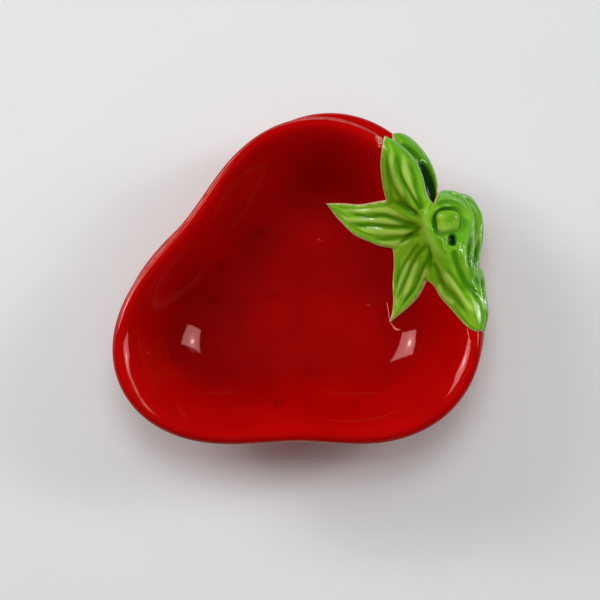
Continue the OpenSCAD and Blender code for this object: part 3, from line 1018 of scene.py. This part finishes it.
def green_glaze():
    paint = Paint("green_glaze")
    groove_and_shade = paint.mark("groove_and_shade")
    mottle = paint.span(paint.noise(0.006, 3), 0.35, 0.7, 0, 1)
    colour = paint.mix(mottle, GREEN, MOTTLED_GREEN)
    colour = paint.mix(paint.span(paint.mark("stroke"), -0.2, 0.8, 0, 0.65), colour, DARK_STROKE)
    colour = paint.mix(paint.span(paint.mark("stroke"), -0.1, -0.8, 0, 0.5), colour, LIGHT_STROKE)
    # Paler ridges and fold tops, with a painted sheen along the left rim sepal's outer edge
    colour = paint.mix(paint.span(paint.mark("pale_and_sheen"), 0.1, 0.9, 0, 0.8), colour, RIDGE_AND_SHEEN_GREEN)
    colour = paint.mix(paint.span(paint.mark("outer"), 0, 1, 0, 0.6), colour, OUTER_GREEN)
    # Glaze pooled in the grooves, and painted shade, near black, in the deep hollows, the hole and the ditch
    colour = paint.mix(paint.span(groove_and_shade, 0.04, 0.5, 0, 0.9), colour, GROOVE_GREEN)
    colour = paint.mix(paint.span(groove_and_shade, 0.55, 1.6, 0, 1), colour, HOLLOW_SHADE_GREEN)
    ragged = paint.span(paint.noise(0.0016, 2), 0.3, 0.7, -0.16, 0.16)
    from_edge = paint.math("ADD", paint.mark("rim_line"), ragged)
    colour = paint.mix(paint.span(from_edge, 0.28, 0.5, 0.8, 0), colour, BARE_EDGE)
    # Glaze runs in pale pink, partly a painted highlight
    colour = paint.mix(paint.mark("run"), colour, RUN_PINK_HIGHLIGHT)
    paint.set("Base Color", colour)
    paint.set("Roughness", paint.span(paint.noise(0.004, 3), 0.3, 0.75, 0.06, 0.16))
    ripple = paint.bump(paint.noise(0.005, 2), 0.00006)
    paint.set("Normal", paint.bump(paint.noise(0.001, 2), 0.000015, 1.0, ripple))
    paint.set("IOR", 1.55)
    paint.set("Specular IOR Level", paint.span(paint.mark("outer"), 0, 0.4, 0.3, 0.55))
    return paint.material


def bare_clay():
    paint = Paint("bare_clay")
    colour = paint.mix(paint.span(paint.noise(0.012, 4), 0.3, 0.7, 0, 1), CLAY, LIGHT_CLAY)
    colour = paint.mix(paint.specks(0.003, 0.0004), colour, CLAY_SPECK)
    edge = paint.math("ADD", paint.mark("rise"), paint.span(paint.noise(0.006, 3), 0.2, 0.8, -0.12, 0.12))
    glazed = paint.span(edge, 0.76, 0.8, 0, 1)
    colour = paint.mix(glazed, colour, FOOT_RED)
    paint.set("Base Color", colour)
    rough = paint.span(paint.noise(0.002, 3), 0.3, 0.7, 0.7, 0.95)
    paint.set("Roughness", paint.math("SUBTRACT", rough, paint.math("MULTIPLY", glazed, 0.68)))
    paint.set("Normal", paint.bump(paint.noise(0.0007, 4, 0.7), 0.00008))
    return paint.material


def stage_paint():
    paint = Paint("floor_paper")
    paint.set("Base Color", paint.mix(paint.noise(0.35, 2), PAPER, LIGHT_PAPER))
    paint.set("Roughness", paint.span(paint.noise(0.01, 2), 0.3, 0.7, 0.75, 0.9))
    return paint.material


red = red_glaze()
green = green_glaze()
clay = bare_clay()

calyx_shapes = {"stem_collar": sheet_shape(collar_edges(), COLLAR_GRID[1]), "stem_stub": stub_shape()}
for name, sides in SEPALS.items():
    edges = [sepal_edge(*side) for side in sides]
    calyx_shapes[name] = sheet_shape(edges, SEPAL_GRID[1], GLAZE_RUNS.get(name))
lower_edges = [sepal_edge(*side) for side in LOWER_SEPAL]
lower_outline = [free_edge(*side, 90) for side in LOWER_SEPAL]
lower_shapes = {
    **calyx_shapes,
    "left_rim_sepal": sheet_shape(lower_edges, SEPAL_GRID[1], None, lower_outline, LOWER_SHADED_HOLLOWS),
}
for dish, shapes in (("lower", lower_shapes), ("upper", calyx_shapes)):
    make_bowl(dish, red)
    make_foot(dish, clay)
    for name, (points, faces, marks, sharp) in shapes.items():
        add_piece(dish, name, points, faces, marks, green, sharp)

# Stage
VIEW_AZIMUTH = math.radians(-22.6)
VIEW_ELEVATION = math.radians(82)
VIEW_TARGET = Vector((-0.00182, -0.00272, 0.05183))
VIEW_DISTANCE = 0.78
to_right = Vector((math.cos(VIEW_AZIMUTH), math.sin(VIEW_AZIMUTH), 0))
to_back = Vector((-math.sin(VIEW_AZIMUTH), math.cos(VIEW_AZIMUTH), 0))
to_top = Vector((0, 0, 1))

floor_mesh = bpy.data.meshes.new("floor")
floor_mesh.from_pydata([(-3, -3, 0), (3, -3, 0), (3, 3, 0), (-3, 3, 0)], [], [(0, 1, 2, 3)])
floor_mesh.materials.append(stage_paint())
floor = bpy.data.objects.new("floor", floor_mesh)
bpy.context.scene.collection.objects.link(floor)


def from_view(azimuth, elevation):
    """Direction at an azimuth from the picture's right toward its back, and an elevation, in degrees."""
    turn = math.radians(azimuth)
    tilt = math.radians(elevation)
    level = to_right * math.cos(turn) + to_back * math.sin(turn)
    return level * math.cos(tilt) + to_top * math.sin(tilt)


def add_lamp(name, azimuth, elevation, distance, size, power, roll=0, shape="RECTANGLE", shines=True):
    """An area lamp that faces the dish, in watts. One that doesn't shine stays out of reflections."""
    lamp = bpy.data.lights.new(name, "AREA")
    lamp.shape = shape
    lamp.size, lamp.size_y = size
    lamp.energy = power
    way = from_view(azimuth, elevation)
    item = bpy.data.objects.new(name, lamp)
    item.location = VIEW_TARGET + way * distance
    facing = way.to_track_quat("Z", "Y") @ Quaternion((0, 0, 1), math.radians(roll))
    item.rotation_euler = facing.to_euler()
    item.visible_glossy = shines
    bpy.context.scene.collection.objects.link(item)
    return item


add_lamp("left_softbox", 149.4, 36.2, 1.0, (0.39, 0.55), 3.5, 22)
add_lamp("right_softbox", 13.8, 41.1, 1.0, (0.28, 0.5), 2.0, -26)
for side, azimuth, elevation, power in (("left", 152.5, 32, 1.0), ("right", 17.5, 41.9, 0.65)):
    for number, (size, part) in enumerate(((0.32, 0.32), (0.18, 0.28), (0.08, 0.4))):
        glow = f"{side}_glow_{number}"
        distance = 0.985 - 0.003 * number
        add_lamp(glow, azimuth, elevation, distance, (size, size), part * power, shape="ELLIPSE")
add_lamp("overhead_fill", 100, 75, 1.6, (2.4, 2.4), 6.0, shines=False)
add_lamp("top_fill", 95, 81, 1.6, (0.5, 0.5), 8.4, shines=False)
add_lamp("near_fill", -90, 80, 1.5, (0.8, 0.8), 1.6, shines=False)

world = bpy.data.worlds.new("studio")
world.use_nodes = True
bpy.context.scene.world = world
sky = world.node_tree.nodes["Background"]
sky.inputs["Color"].default_value = (1, 1, 1, 1)
sky.inputs["Strength"].default_value = 0.02

camera_data = bpy.data.cameras.new("camera")
camera_data.sensor_width = 36
camera_data.lens = 132
camera = bpy.data.objects.new("camera", camera_data)
view_way = to_back * math.cos(VIEW_ELEVATION) - to_top * math.sin(VIEW_ELEVATION)
camera.location = VIEW_TARGET - view_way * VIEW_DISTANCE
camera.rotation_euler = view_way.to_track_quat("-Z", "Y").to_euler()
bpy.context.scene.collection.objects.link(camera)
bpy.context.scene.camera = camera
bpy.context.scene.view_settings.view_transform = "Standard"
